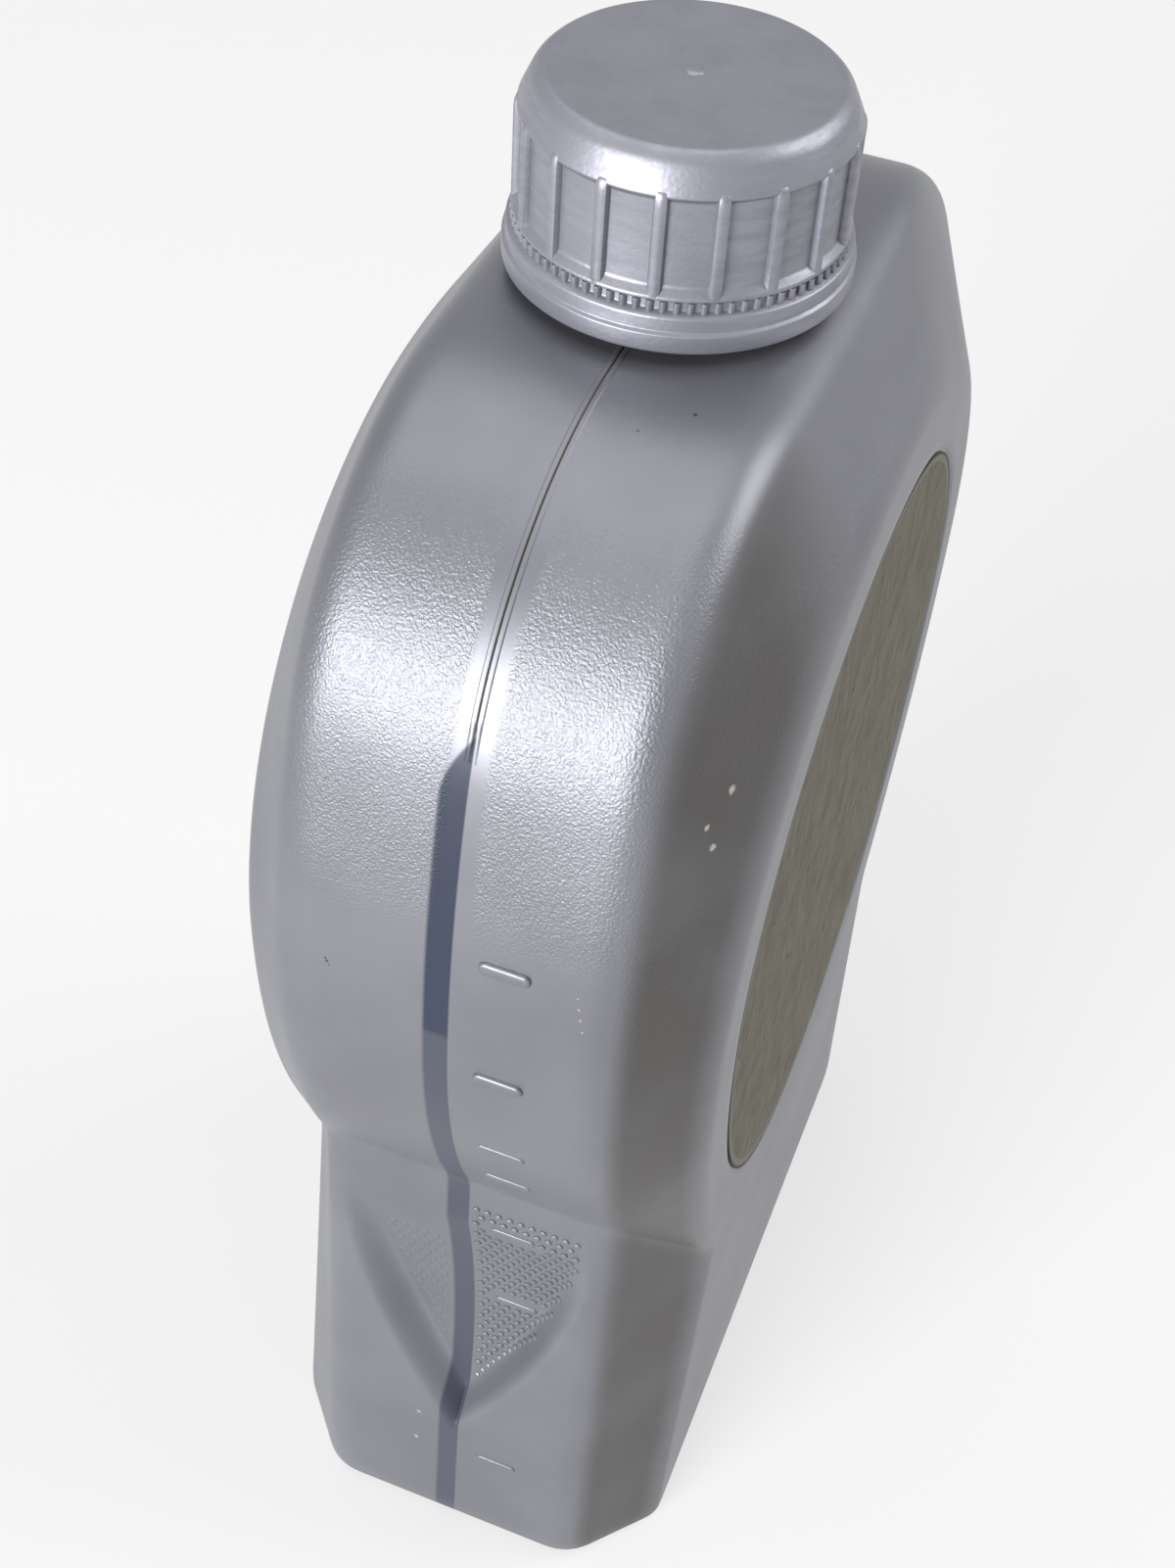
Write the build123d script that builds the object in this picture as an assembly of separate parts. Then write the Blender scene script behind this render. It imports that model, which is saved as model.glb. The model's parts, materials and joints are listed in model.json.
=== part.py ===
from build123d import *
import os
from math import atan, cos, pi, radians, sin, sqrt, tan

# One-litre blow-moulded oil bottle with a ribbed screw cap on a tamper-evident ring.
# Millimetres, +Z up, origin at the middle of the base. X runs along the wide side and
# Y through the thickness; the label faces -Y and the sight side with level marks faces -X.

# Bottle, through the thickness
half_depth = 30.6            # middle plane to the flat front and back faces
band_inset = 10.6            # the flat band on the narrow sides ends this far from the faces
wall = 1.2                   # blown wall
soft_edge = 4.0              # rounding between the band and the slanted panels
face_edge = 2.5              # rounding between the slanted panels and the flat faces

# Bottle outline at the narrow band, seen from the front
widest_half = 64.5
head_rise = 61.4             # waist up to the widest place
base_narrowing = 4.3         # narrower than the widest place, on each side
waist_narrowing = 7.5
waist_z = 66.0
shoulder_narrowing = 4.8
upper_rise = 40.9            # widest place up to the foot of the shoulder
shoulder_rise = 29.0         # foot of the shoulder up to the flat under the neck

# Outline of the flat front and back faces, in from the band's outline
face_inset = 10.0
face_waist_inset = 18.4
face_base_inset = 12.2
face_shoulder_deg = 34.0     # where the round face meets the shoulder slope
face_top_deg = 78.0          # where the slope meets the saddle under the neck

# Base
base_edge = 2.0              # slanted edge around the foot
push_up = 2.0                # height of the hollow under the base
push_up_margin = 9.0         # width of the standing rim
push_up_flat = 2.0           # straight length left at the hollow's ends
push_up_taper = 30.0         # degrees

# Grip scoops in the narrow sides, pointed shields
scoop_radius = 140.0         # of the hollow, about an axis along Y
scoop_sink = 3.4             # deepest point of the hollow, in from the waist
scoop_mid_z = 52.0
scoop_top_z = 97.0
scoop_margin = 0.5           # the shield's top corners, in from the band's edges
scoop_side_half = 11.8       # half width of the shield at the hollow's middle
scoop_tip_z = 30.0

# Level marks on the sight side
mark_length = 6.1
mark_height = 1.2
mark_proud = 0.5
mark_offset = 7.0            # middle of a mark from the seam
mark_heights = (22.0, 41.0, 60.0, 82.0, 99.5, 109.4, 126.3, 145.6)

# Round label panels
label_half = 45.0
label_mid_drop = 1.4         # the round head of the label sits below the widest place
label_tail = 68.0            # from there down to the label's lower end
label_thickness = 0.25
panel_depth = 0.4
panel_gap = 0.8              # room around the label inside its panel

# Neck
neck_radius = 15.2
neck_wall = 2.2
neck_foot = 1.6              # rounding at the foot of the neck
lock_bead_proud = 1.3
lock_bead_rise = 2.8         # middle of the bead above the ring's lower edge
lock_bead_height = 1.8

# Cap
cap_height = 16.2
cap_top_thickness = 1.6
cap_panel_radius = 18.1
cap_rim_inset = 1.6          # the flat disc on top is smaller than the panels by this
cap_rim_drop = 2.1           # rounded rim below the disc
cap_collar_drop = 3.8        # lower edge of the smooth collar
cap_collar_flare = 0.3       # the collar's spread over the panels
cap_wall = 1.1
cap_ledge_height = 1.3       # sloped ledge at the foot of the panels
cap_ledge_lip = 0.4          # upright edge below the slope
rib_count = 18
rib_proud = 0.85
rib_width = 1.4
gate_radius = 0.9
gate_height = 0.2            # moulding pip in the middle of the disc

# Liner in the cap
liner_thickness = 1.2
liner_clearance = 0.3

# Tamper-evident ring under the cap
ring_lift = 1.5              # room under the ring
ring_foot_height = 2.5       # wider lower part
ring_step_slope = 0.5
ring_height = 4.2
bridge_height = 1.6          # of the teeth that tie the ring to the cap
ring_wide_radius = 19.9
ring_step = 0.85             # the upper part is smaller than the foot by this
ring_bead_gap = 0.35         # room between the ring and the neck's bead
tooth_count = 80
tooth_width = 0.7
tooth_depth = 1.0

near = 0.01                  # distance at which two places count as one
slant = tan(radians(22.5))   # shift of a corner when walls meeting at 45 degrees move in
band_half = half_depth - band_inset
base_half = widest_half - base_narrowing
waist_half = widest_half - waist_narrowing
widest_z = waist_z + head_rise
shoulder_half = widest_half - shoulder_narrowing
shoulder_z = widest_z + upper_rise
shoulder_lean = 2 * atan(shoulder_narrowing / upper_rise)
shoulder_top_z = shoulder_z + shoulder_rise
shoulder_top_half = shoulder_half - shoulder_rise * tan(pi / 4 + shoulder_lean / 2)   # runs level there
face_base_half = base_half - face_base_inset
face_waist_half = waist_half - face_waist_inset
face_radius = widest_half - face_inset
scoop_floor_half = waist_half - scoop_sink
scoop_top_half = band_half - scoop_margin
label_mid_z = widest_z - label_mid_drop
ring_bottom_z = shoulder_top_z + ring_lift
ring_step_z = ring_bottom_z + ring_foot_height
ring_top_z = ring_bottom_z + ring_height
lock_bead_z = ring_bottom_z + lock_bead_rise
cap_bottom_z = ring_top_z + bridge_height
cap_top_z = cap_bottom_z + cap_height
bore_radius = neck_radius - neck_wall
cap_top_radius = cap_panel_radius - cap_rim_inset
cap_inner_radius = cap_panel_radius - cap_wall
rib_radius = cap_panel_radius + rib_proud
liner_top_z = cap_top_z - cap_top_thickness
neck_top_z = liner_top_z - liner_thickness
ring_radius = ring_wide_radius - ring_step
ring_inner_radius = neck_radius + lock_bead_proud + ring_bead_gap


def flip(point):
    return (-point[0], point[1])


def on_face_circle(radius, angle):
    return (radius * cos(radians(angle)), widest_z + radius * sin(radians(angle)))


def in_front_view(y, edges):
    return Plane.XZ.offset(-y).from_local_coords(Wire(edges))


def band_outline(y, inset):
    """Outline of the narrow band: foot, flare, lower side, upper side and shoulder."""
    foot = (base_half - inset, inset)
    waist = (waist_half - inset, waist_z)
    widest = (widest_half - inset, widest_z)
    shoulder = (shoulder_half - inset, shoulder_z)
    top = (shoulder_top_half - inset, shoulder_top_z - inset)
    upper = TangentArc(widest, shoulder, tangent=(0, 1))
    right = [
        Line(foot, waist),
        TangentArc(widest, waist, tangent=(0, -1)),
        upper,
        TangentArc(shoulder, top, tangent=upper % 1),
    ]
    left = [edge.mirror(Plane.YZ) for edge in right]
    return in_front_view(y, [Line(flip(foot), foot), *right, Line(top, flip(top)), *left])


def face_outline(y, inset):
    """Outline of a flat face: a round head that tapers to the waist, then the foot."""
    shift = inset * slant
    radius = face_radius - shift
    foot = (face_base_half - shift, inset)
    waist = (face_waist_half - shift, waist_z)
    widest = (radius, widest_z)
    shoulder = on_face_circle(radius, face_shoulder_deg)
    top = on_face_circle(radius, face_top_deg)
    right = [
        Line(foot, waist),
        TangentArc(widest, waist, tangent=(0, -1)),
        RadiusArc(widest, shoulder, -radius),
        RadiusArc(shoulder, top, -radius),
    ]
    left = [edge.mirror(Plane.YZ) for edge in right]
    crown = RadiusArc(top, flip(top), -radius)
    return in_front_view(y, [Line(flip(foot), foot), *right, crown, *left])


def bottle_form(inset):
    """The blown form without neck: a flat band, slanted panels and two flat faces."""
    depth = half_depth - inset
    band = band_half - inset * slant
    sections = [
        face_outline(-depth, inset),
        band_outline(-band, inset),
        band_outline(band, inset),
        face_outline(depth, inset),
    ]
    return Solid.make_loft(sections, ruled=True)


def outline_edges(form, y):
    """Outline edges of the head in the planes at +Y and -Y, above the cut at the waist."""
    return [
        edge
        for edge in form.edges()
        if abs(abs(edge.center().Y) - y) < near
        and edge.bounding_box().size.Y < near
        and edge.center().Z > waist_z + near
    ]


def block_plan(z):
    """Eight-sided plan of the base block at a height below the waist."""
    part = z / waist_z
    band = base_half + (waist_half - base_half) * part
    face = face_base_half + (face_waist_half - face_base_half) * part
    right = [(face, -half_depth), (band, -band_half), (band, band_half), (face, half_depth)]
    left = [flip(point) for point in reversed(right)]
    return Pos(0, 0, z) * Polygon(*right, *left, align=None)


def foot():
    """Lowest part of the base block, slanted in on all sides."""
    standing = offset(block_plan(0), -base_edge, kind=Kind.INTERSECTION)
    return loft([standing.face(), block_plan(base_edge).face()], ruled=True)


def soft_form():
    """The outer form: a round head with soft edges on a base block with a slanted foot."""
    form = bottle_form(0)
    head = form.split(Plane.XY.offset(waist_z), keep=Keep.TOP)
    head = fillet(outline_edges(head, band_half), soft_edge)
    head = fillet(outline_edges(head, half_depth), face_edge)
    block = form.split(Plane.XY.offset(waist_z), keep=Keep.BOTTOM)
    block = block.split(Plane.XY.offset(base_edge), keep=Keep.TOP)
    return head + block + foot()


def shield(inset):
    """Pointed shield outline of a scoop, in the plane X = 0."""
    top = (scoop_top_half + inset, scoop_top_z + inset)
    side = (scoop_side_half + inset, scoop_mid_z)
    tip = (0, scoop_tip_z - inset)
    right = ThreePointArc(top, side, tip)
    edges = [Line(flip(top), top), right, right.mirror(Plane.YZ)]
    return Face(Plane.YZ.from_local_coords(Wire(edges)))


def scoop(side, inset):
    """Hollow for one narrow side: a lying cylinder inside a pointed shield."""
    radius = scoop_radius + inset
    axis_x = side * (scoop_floor_half + scoop_radius)
    roller = Pos(axis_x, 0, scoop_mid_z) * Rot(90, 0, 0) * Cylinder(radius, 4 * half_depth)
    column = extrude(shield(inset), amount=2 * base_half, dir=(side, 0, 0))
    return roller & column


def base_hollow(inset):
    """Push-up under the base, narrowing upwards."""
    length = 2 * (base_half - base_edge - push_up_margin + inset)
    width = 2 * (half_depth - base_edge - push_up_margin + inset)
    plan = RectangleRounded(length, width, (width - push_up_flat) / 2)
    return extrude(plan, amount=push_up + inset, taper=push_up_taper)


def scoop_half_at(z):
    return scoop_floor_half + scoop_radius - sqrt(scoop_radius**2 - (z - scoop_mid_z) ** 2)


def side_half_at(z):
    """Half width of the narrow sides at a height between the foot and the shoulder."""
    if z < waist_z:
        side = base_half + (waist_half - base_half) * z / waist_z
    else:
        end_half, end_z = (waist_half, waist_z) if z < widest_z else (shoulder_half, shoulder_z)
        fall = widest_half - end_half
        radius = ((end_z - widest_z) ** 2 + fall**2) / (2 * fall)
        side = widest_half - radius + sqrt(radius**2 - (z - widest_z) ** 2)
    in_scoop = scoop_tip_z < z < scoop_top_z
    return min(side, scoop_half_at(z)) if in_scoop else side


def level_marks():
    """Raised bars beside the seam on the sight side."""
    marks = []
    bar = SlotOverall(mark_length, mark_height)
    depth = wall / 2 + mark_proud
    for z in mark_heights:
        place = Plane((-side_half_at(z) + wall / 2, -mark_offset, z), (0, 1, 0), (-1, 0, 0))
        marks.append(extrude(place * bar, amount=depth))
    return marks


def label_outline(gap):
    """Round above its middle, half an ellipse below."""
    half = label_half + gap
    low = label_tail + gap
    middle = (0, label_mid_z)
    head = CenterArc(middle, half, 0, 180)
    tail = EllipticalCenterArc(middle, half, low, start_angle=180, arc_size=180)
    return [head, tail]


def label_slab(y, gap, thickness):
    """A slab of the label's outline, from the plane at Y towards the middle."""
    face = Face(in_front_view(y, label_outline(gap)))
    return extrude(face, amount=thickness, dir=(0, -y, 0))


def neck_form():
    """Neck with its foot and the bead that keeps the ring on."""
    with BuildSketch(Plane.XZ) as section:
        with BuildLine():
            Polyline(
                (0, shoulder_top_z - wall),
                (neck_radius + neck_foot, shoulder_top_z - wall),
                (neck_radius + neck_foot, shoulder_top_z),
                (neck_radius, shoulder_top_z + neck_foot),
                (neck_radius, lock_bead_z - lock_bead_height / 2),
                (neck_radius + lock_bead_proud, lock_bead_z - lock_bead_height / 2),
                (neck_radius, lock_bead_z + lock_bead_height / 2),
                (neck_radius, neck_top_z),
                (0, neck_top_z),
                close=True,
            )
        make_face()
    return revolve(section.sketch, Axis.Z)


def bottle_body():
    outer = soft_form()
    cavity = bottle_form(wall) - base_hollow(wall)
    for side in (-1, 1):
        outer -= scoop(side, 0)
        cavity -= scoop(side, wall)
    outer = outer + neck_form() - base_hollow(0)
    for y in (-half_depth, half_depth):
        outer -= label_slab(y, panel_gap, panel_depth)
    bore_length = neck_top_z - shoulder_top_z + 2 * wall
    bore = Pos(0, 0, neck_top_z - bore_length / 2) * Cylinder(bore_radius, bore_length)
    body = outer + level_marks() - cavity - bore
    return body


def front_label():
    outside = half_depth - panel_depth + label_thickness
    return label_slab(-outside, 0, label_thickness)


def screw_cap():
    collar_z = cap_top_z - cap_collar_drop
    rim_z = cap_top_z - cap_rim_drop
    ledge_z = cap_bottom_z + cap_ledge_height
    with BuildSketch(Plane.XZ) as section:
        with BuildLine():
            Polyline(
                (0, cap_top_z),
                (0, liner_top_z),
                (cap_inner_radius, liner_top_z),
                (cap_inner_radius, cap_bottom_z),
                (rib_radius, cap_bottom_z),
                (rib_radius, cap_bottom_z + cap_ledge_lip),
                (cap_panel_radius, ledge_z),
                (cap_panel_radius, collar_z),
                (cap_panel_radius + cap_collar_flare, collar_z + cap_collar_flare),
                (cap_panel_radius, rim_z),
            )
            TangentArc((cap_top_radius, cap_top_z), (cap_panel_radius, rim_z), tangent=(1, 0))
            Line((cap_top_radius, cap_top_z), (0, cap_top_z))
        make_face()
    cap = revolve(section.sketch, Axis.Z)
    pip = Pos(0, 0, cap_top_z + gate_height / 2) * Cylinder(gate_radius, gate_height)
    return cap + pip + ribs(ledge_z, collar_z)


def ribs(z_low, z_high):
    """Slim upright grip ribs with sloped tops."""
    root = cap_panel_radius - cap_wall / 2
    with BuildSketch(Plane.XZ) as side:
        with BuildLine():
            Polyline(
                (root, z_low - cap_ledge_height / 2),
                (rib_radius, z_low - cap_ledge_height / 2),
                (rib_radius, z_high - rib_proud),
                (root, z_high + rib_proud / 2),
                close=True,
            )
        make_face()
    rib = extrude(side.sketch, amount=rib_width / 2, both=True)
    return [Rot(0, 0, 360 * (index + 0.5) / rib_count) * rib for index in range(rib_count)]


def cap_liner():
    radius = cap_inner_radius - liner_clearance
    return Pos(0, 0, neck_top_z + liner_thickness / 2) * Cylinder(radius, liner_thickness)


def tamper_band():
    """Ring that stays on the neck, with a crown of breaking bridges under the cap."""
    with BuildSketch(Plane.XZ) as section:
        with BuildLine():
            Polyline(
                (ring_inner_radius, ring_bottom_z),
                (ring_wide_radius, ring_bottom_z),
                (ring_wide_radius, ring_step_z - ring_step_slope),
                (ring_radius, ring_step_z),
                (ring_radius, ring_top_z),
                (ring_inner_radius, ring_top_z),
                close=True,
            )
        make_face()
    ring = revolve(section.sketch, Axis.Z)
    height = cap_bottom_z - ring_top_z
    tooth = Pos(ring_radius - tooth_depth / 2, 0, ring_top_z + height / 2) * Box(
        tooth_depth, tooth_width, height
    )
    teeth = [Rot(0, 0, 360 * index / tooth_count) * tooth for index in range(tooth_count)]
    return ring + teeth


os.makedirs("parts", exist_ok=True)
export_step(bottle_body(), "parts/bottle_body.step")
export_step(front_label(), "parts/front_label.step")
export_step(screw_cap(), "parts/screw_cap.step")
export_step(cap_liner(), "parts/cap_liner.step")
export_step(tamper_band(), "parts/tamper_band.step")
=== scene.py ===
import json
import math

import bmesh
import bpy
import numpy as np
from mathutils import Matrix, Vector

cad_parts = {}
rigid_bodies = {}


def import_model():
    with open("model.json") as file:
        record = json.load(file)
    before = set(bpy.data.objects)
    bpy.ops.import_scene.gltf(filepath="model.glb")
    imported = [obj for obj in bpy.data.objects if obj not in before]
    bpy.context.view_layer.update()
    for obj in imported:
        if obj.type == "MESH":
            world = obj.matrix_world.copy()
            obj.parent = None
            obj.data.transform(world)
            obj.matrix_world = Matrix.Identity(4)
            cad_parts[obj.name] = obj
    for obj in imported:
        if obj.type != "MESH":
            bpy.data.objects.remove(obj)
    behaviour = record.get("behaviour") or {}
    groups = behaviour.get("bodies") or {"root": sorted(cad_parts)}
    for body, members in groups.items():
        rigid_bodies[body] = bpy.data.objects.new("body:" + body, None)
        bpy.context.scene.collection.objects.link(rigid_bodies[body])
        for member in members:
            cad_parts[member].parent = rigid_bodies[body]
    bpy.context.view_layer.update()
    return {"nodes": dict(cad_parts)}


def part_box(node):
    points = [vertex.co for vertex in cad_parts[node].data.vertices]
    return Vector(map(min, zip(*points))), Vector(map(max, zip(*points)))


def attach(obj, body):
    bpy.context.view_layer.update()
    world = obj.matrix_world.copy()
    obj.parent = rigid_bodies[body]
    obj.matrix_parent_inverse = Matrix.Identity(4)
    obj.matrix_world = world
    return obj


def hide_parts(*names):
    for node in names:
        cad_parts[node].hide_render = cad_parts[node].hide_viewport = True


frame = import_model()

mm = 0.001
weld = 0.001 * mm                            # points nearer than this become one
farOut = 100.0 * mm                          # clear of the bottle to each side
aboveAll = 230.0 * mm                        # clear of the bottle and its cap
scene = bpy.context.scene
print("frame loaded:", ", ".join(sorted(frame["nodes"])))


# mesh helpers

def linkObject(name, mesh):
    obj = bpy.data.objects.new(name, mesh)
    scene.collection.objects.link(obj)
    return obj


def meshFrom(name, points, faces):
    mesh = bpy.data.meshes.new(name)
    mesh.from_pydata([tuple(p) for p in points], [], faces)
    bm = bmesh.new()
    bm.from_mesh(mesh)
    bmesh.ops.recalc_face_normals(bm, faces=bm.faces)
    bm.to_mesh(mesh)
    bm.free()
    mesh.update()
    return mesh


def plainMesh(obj):
    # the evaluated result as a mesh of its own, with the modifiers gone
    graph = bpy.context.evaluated_depsgraph_get()
    mesh = bpy.data.meshes.new_from_object(obj.evaluated_get(graph))
    obj.modifiers.clear()
    obj.data = mesh
    return obj


def shadeSoft(obj, angle=35):
    obj.data.polygons.foreach_set("use_smooth", [True] * len(obj.data.polygons))
    obj.data.set_sharp_from_angle(angle=math.radians(angle))


def gridFaces(rows, columns):
    # quads of a grid whose columns close on themselves
    faces = []
    for r in range(rows - 1):
        near, far = r * columns, (r + 1) * columns
        for c in range(columns):
            n = (c + 1) % columns
            faces.append((near + c, near + n, far + n, far + c))
    return faces


def closedGrid(name, grid):
    # loops of equal length, closed by a pole at both ends
    rows, columns = grid.shape[:2]
    points = np.vstack([grid.reshape(-1, 3), grid[0].mean(0), grid[-1].mean(0)])
    faces = gridFaces(rows, columns)
    first, last = rows * columns, rows * columns + 1
    for c in range(columns):
        n = (c + 1) % columns
        faces.append((first, n, c))
        faces.append((last, (rows - 1) * columns + c, (rows - 1) * columns + n))
    return meshFrom(name, points, faces)


def lathe(name, profile, steps):
    # a closed profile of (radius, height) turned about the neck's axis
    turn = np.linspace(0, 2 * math.pi, steps, endpoint=False)
    points = [(r * math.cos(a), r * math.sin(a), z) for a in turn for r, z in profile]
    count = len(profile)
    faces = []
    for s in range(steps):
        for c in range(count):
            a, b = s * count + c, s * count + (c + 1) % count
            d = ((s + 1) % steps) * count + c
            e = ((s + 1) % steps) * count + (c + 1) % count
            faces.append((a, b, e, d))
    mesh = meshFrom(name, points, faces)
    bm = bmesh.new()
    bm.from_mesh(mesh)
    bmesh.ops.remove_doubles(bm, verts=bm.verts, dist=weld)
    bmesh.ops.dissolve_degenerate(bm, edges=bm.edges, dist=weld)
    bmesh.ops.recalc_face_normals(bm, faces=bm.faces)
    bm.to_mesh(mesh)
    bm.free()
    return mesh


def rounded(profile, radii, steps=4, most=0.45):
    # each corner of a closed profile turned into a curve over at most a share of its edges
    points = [np.array(p, float) for p in profile]
    out = []
    for i, p in enumerate(points):
        before, after = points[i - 1] - p, points[(i + 1) % len(points)] - p
        if radii[i] == 0:
            out.append(tuple(p))
            continue
        cut = min(radii[i], most * np.linalg.norm(before), most * np.linalg.norm(after))
        a = p + before / np.linalg.norm(before) * cut
        b = p + after / np.linalg.norm(after) * cut
        for s in np.linspace(0, 1, steps + 1):
            out.append(tuple((1 - s) ** 2 * a + 2 * s * (1 - s) * p + s * s * b))
    return out


def smoothStep(low, high, value):
    s = np.clip((value - low) / (high - low), 0, 1)
    return s * s * (3 - 2 * s)


# geometry node trees

def nodeTree(name, inputs):
    tree = bpy.data.node_groups.new(name, "GeometryNodeTree")
    tree.interface.new_socket("Geometry", in_out="INPUT", socket_type="NodeSocketGeometry")
    for label, kind in inputs:
        tree.interface.new_socket(label, in_out="INPUT", socket_type=kind)
    tree.interface.new_socket("Geometry", in_out="OUTPUT", socket_type="NodeSocketGeometry")
    return tree, tree.nodes.new("NodeGroupInput"), tree.nodes.new("NodeGroupOutput")


def endTree(tree, start, end, parts):
    # join, make real, set the material
    join = tree.nodes.new("GeometryNodeJoinGeometry")
    for part in parts:
        tree.links.new(part, join.inputs[0])
    real = tree.nodes.new("GeometryNodeRealizeInstances")
    paint = tree.nodes.new("GeometryNodeSetMaterial")
    tree.links.new(join.outputs[0], real.inputs[0])
    tree.links.new(real.outputs[0], paint.inputs["Geometry"])
    tree.links.new(start.outputs["Material"], paint.inputs["Material"])
    tree.links.new(paint.outputs[0], end.inputs[0])


def crownTree():
    # copies of one small shape all round the neck's axis, joined to the piece that carries them
    tree, start, end = nodeTree("crown of copies", [
        ("Shape", "NodeSocketObject"), ("Count", "NodeSocketInt"),
        ("First Angle", "NodeSocketFloat"), ("Material", "NodeSocketMaterial")])
    points = tree.nodes.new("GeometryNodePoints")
    shape = tree.nodes.new("GeometryNodeObjectInfo")
    index = tree.nodes.new("GeometryNodeInputIndex")
    share = tree.nodes.new("ShaderNodeMath")
    share.operation = "DIVIDE"
    angle = tree.nodes.new("ShaderNodeMath")
    angle.operation = "MULTIPLY_ADD"
    angle.inputs[1].default_value = 2 * math.pi
    turn = tree.nodes.new("ShaderNodeCombineXYZ")
    copies = tree.nodes.new("GeometryNodeInstanceOnPoints")
    tree.links.new(start.outputs["Count"], points.inputs["Count"])
    tree.links.new(start.outputs["Shape"], shape.inputs["Object"])
    tree.links.new(index.outputs[0], share.inputs[0])
    tree.links.new(start.outputs["Count"], share.inputs[1])
    tree.links.new(share.outputs[0], angle.inputs[0])
    tree.links.new(start.outputs["First Angle"], angle.inputs[2])
    tree.links.new(angle.outputs[0], turn.inputs["Z"])
    tree.links.new(points.outputs[0], copies.inputs["Points"])
    tree.links.new(shape.outputs["Geometry"], copies.inputs["Instance"])
    tree.links.new(turn.outputs[0], copies.inputs["Rotation"])
    endTree(tree, start, end, [start.outputs["Geometry"], copies.outputs[0]])
    return tree


def scatterTree():
    # one small shape on each point, standing along the point's facing
    tree, start, end = nodeTree("shapes on points", [
        ("Shape", "NodeSocketObject"), ("Size", "NodeSocketFloat"),
        ("Material", "NodeSocketMaterial")])
    shape = tree.nodes.new("GeometryNodeObjectInfo")
    facing = tree.nodes.new("GeometryNodeInputNamedAttribute")
    facing.data_type = "FLOAT_VECTOR"
    facing.inputs["Name"].default_value = "facing"
    stand = tree.nodes.new("FunctionNodeAlignRotationToVector")
    stand.axis = "Z"
    points = tree.nodes.new("GeometryNodeMeshToPoints")
    copies = tree.nodes.new("GeometryNodeInstanceOnPoints")
    tree.links.new(start.outputs["Geometry"], points.inputs["Mesh"])
    tree.links.new(start.outputs["Shape"], shape.inputs["Object"])
    tree.links.new(facing.outputs[0], stand.inputs["Vector"])
    tree.links.new(points.outputs[0], copies.inputs["Points"])
    tree.links.new(shape.outputs["Geometry"], copies.inputs["Instance"])
    tree.links.new(stand.outputs[0], copies.inputs["Rotation"])
    tree.links.new(start.outputs["Size"], copies.inputs["Scale"])
    endTree(tree, start, end, [copies.outputs[0]])
    return tree


def growNodes(obj, tree, values):
    modifier = obj.modifiers.new(tree.name, "NODES")
    modifier.node_group = tree
    for item in tree.interface.items_tree:
        if item.item_type == "SOCKET" and item.in_out == "INPUT" and item.name in values:
            modifier[item.identifier] = values[item.name]
    return plainMesh(obj)


def joinInto(target, others):
    # one mesh of several pieces that are moulded together
    bm = bmesh.new()
    bm.from_mesh(target.data)
    for other in others:
        bm.from_mesh(other.data)
    bm.to_mesh(target.data)
    bm.free()
    for other in others:
        bpy.data.objects.remove(other)


crownOf = crownTree()
scatterOn = scatterTree()


# material helpers

def newMaterial(name):
    material = bpy.data.materials.new(name)
    material.use_nodes = True
    return material, material.node_tree, material.node_tree.nodes["Principled BSDF"]


def put(tree, kind, inputs=None, **settings):
    node = tree.nodes.new(kind)
    for key, value in settings.items():
        setattr(node, key, value)
    for key, value in (inputs or {}).items():
        if isinstance(value, bpy.types.NodeSocket):
            tree.links.new(value, node.inputs[key])
        else:
            node.inputs[key].default_value = value
    return node


def calc(tree, operation, a, b=0.0, c=0.0):
    return put(tree, "ShaderNodeMath", {0: a, 1: b, 2: c}, operation=operation).outputs[0]


def vectorCalc(tree, operation, a, b):
    return put(tree, "ShaderNodeVectorMath", {0: a, 1: b}, operation=operation).outputs


def ramp(tree, value, low, high, start=0.0, end=1.0):
    return put(tree, "ShaderNodeMapRange",
               {"Value": value, "From Min": low, "From Max": high, "To Min": start, "To Max": end},
               interpolation_type="SMOOTHSTEP").outputs[0]


def between(tree, value, low, high, soft):
    return calc(tree, "MULTIPLY", ramp(tree, value, low - soft, low + soft),
                ramp(tree, value, high - soft, high + soft, 1.0, 0.0))


def blendColour(tree, factor, a, b):
    node = put(tree, "ShaderNodeMix", {"Factor": factor}, data_type="RGBA")
    for socket, value in ((node.inputs[6], a), (node.inputs[7], b)):
        if isinstance(value, bpy.types.NodeSocket):
            tree.links.new(value, socket)
        else:
            socket.default_value = (*value, 1.0)
    return node.outputs[2]


def noise(tree, vector, scale, detail=2.0, roughness=0.5):
    return put(tree, "ShaderNodeTexNoise", {"Vector": vector, "Scale": scale, "Detail": detail,
                                            "Roughness": roughness}).outputs[0]


def place(tree):
    coords = put(tree, "ShaderNodeTexCoord")
    axes = put(tree, "ShaderNodeSeparateXYZ", {0: coords.outputs["Object"]})
    return coords.outputs["Object"], axes.outputs[0], axes.outputs[1], axes.outputs[2]


# bottle body: a round head on a base block, band and slanted panels between two flat faces

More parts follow.
